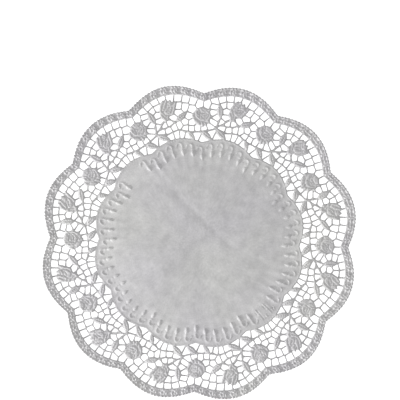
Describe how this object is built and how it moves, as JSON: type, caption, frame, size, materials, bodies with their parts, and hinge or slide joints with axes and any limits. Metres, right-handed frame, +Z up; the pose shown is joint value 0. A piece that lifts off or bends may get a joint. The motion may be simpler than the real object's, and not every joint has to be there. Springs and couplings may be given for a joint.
{
  "type": "paper doily",
  "caption": "Flat round paper lace doily with a scalloped edging, an openwork net of flowers and leaves, and a plain middle inside an embossed ring",
  "frame": {"origin": "centre of the underside, on the surface that the doily lies on", "axes": "+Z up out of the sheet, +Y to the tip of one scallop and +X to the tip of another"},
  "size_m": [0.3, 0.3, 0.0014],
  "materials": {
    "paper": "matt, thin, embossed, slightly cloudy white paper"
  },
  "bodies": {
    "root": {"doily": "paper"}
  },
  "joints": []
}
